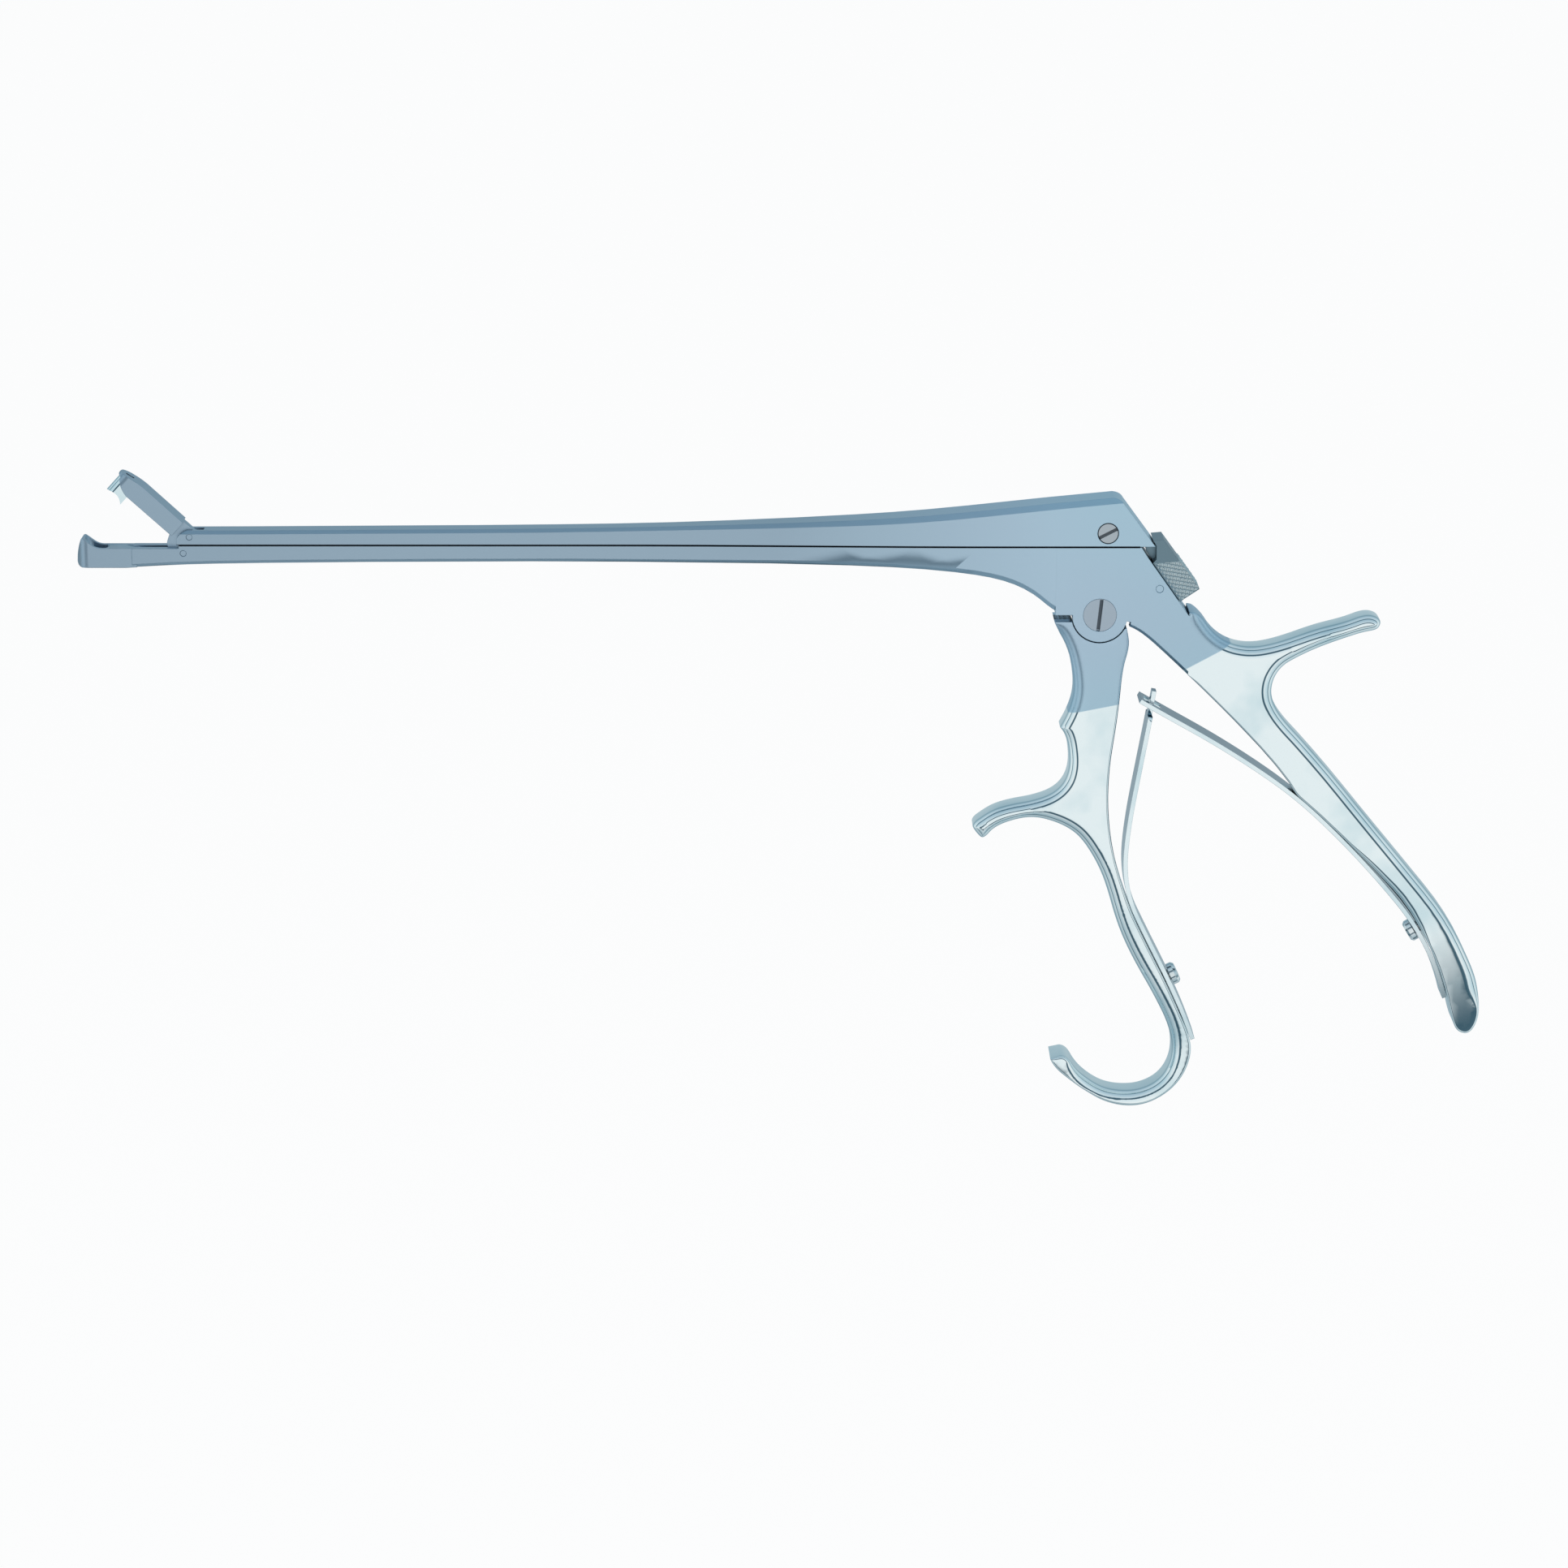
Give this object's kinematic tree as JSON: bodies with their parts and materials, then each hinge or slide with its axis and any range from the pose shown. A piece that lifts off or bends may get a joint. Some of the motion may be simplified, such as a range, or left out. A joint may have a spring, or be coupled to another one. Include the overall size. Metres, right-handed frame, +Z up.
{
  "type": "biopsy forceps",
  "caption": "Sliding-bar biopsy forceps with pistol handles, finger hook, leaf springs and a hinged upper jaw whose ring cutter closes into a sample basket.",
  "frame": {"origin": "seat of the web between thumb and index finger: the deepest point of the curve under the thumb rest, in the middle plane of the instrument", "axes": "+X from the jaws to the hand along the shank, +Z up from the finger hook to the slide bar, +Y across, away from the side with the screw heads"},
  "size_m": [0.2871, 0.009, 0.1338],
  "materials": {
    "satin_steel": "satin",
    "polished_steel": "polished",
    "mirror_steel": "polished"
  },
  "bodies": {
    "frame": {"main_frame": "satin_steel", "jaw_pivot_pin": "satin_steel", "trigger_pivot_screw": "satin_steel", "rear_leaf_spring": "polished_steel", "rear_spring_screw": "polished_steel", "release_slide_pin": "satin_steel"},
    "slide_bar": {"slide_bar": "satin_steel", "slide_bar_screw": "satin_steel", "jaw_drive_pin": "satin_steel"},
    "jaw": {"upper_jaw": "satin_steel", "cutter_ring": "polished_steel"},
    "trigger": {"trigger_handle": "mirror_steel", "front_leaf_spring": "polished_steel", "front_spring_screw": "polished_steel"},
    "release_slide": {"release_slide": "satin_steel", "release_slide_spring": "polished_steel"}
  },
  "joints": [
    {"name": "trigger_squeeze", "type": "hinge", "parent": "frame", "child": "trigger", "pos_m": [-0.0354, 0, 0.017], "axis": [0, -1, 0], "range_deg": [0, 8.8], "stiffness_Nm_per_rad": 3, "springref_deg": -8.59, "deforming": ["front_leaf_spring", "rear_leaf_spring"]},
    {"name": "slide_bar_travel", "type": "slide", "parent": "frame", "child": "slide_bar", "axis": [-1, 0, 0], "range_m": [0, 0.0026]},
    {"name": "jaw_close", "type": "hinge", "parent": "frame", "child": "jaw", "pos_m": [-0.2209, 0, 0.0294], "axis": [0, -1, 0], "range_deg": [0, 42.5]},
    {"name": "release_slide_travel", "type": "slide", "parent": "frame", "child": "release_slide", "axis": [0.5778, 0, -0.8162], "range_m": [0, 0.0025], "stiffness_N_per_m": 400, "springref_m": -0.002, "deforming": ["release_slide_spring"]}
  ],
  "couplings": [
    {"joint": "slide_bar_travel", "follows": "trigger_squeeze", "m_per_rad": 0.01693},
    {"joint": "jaw_close", "follows": "trigger_squeeze", "ratio": 4.831}
  ]
}
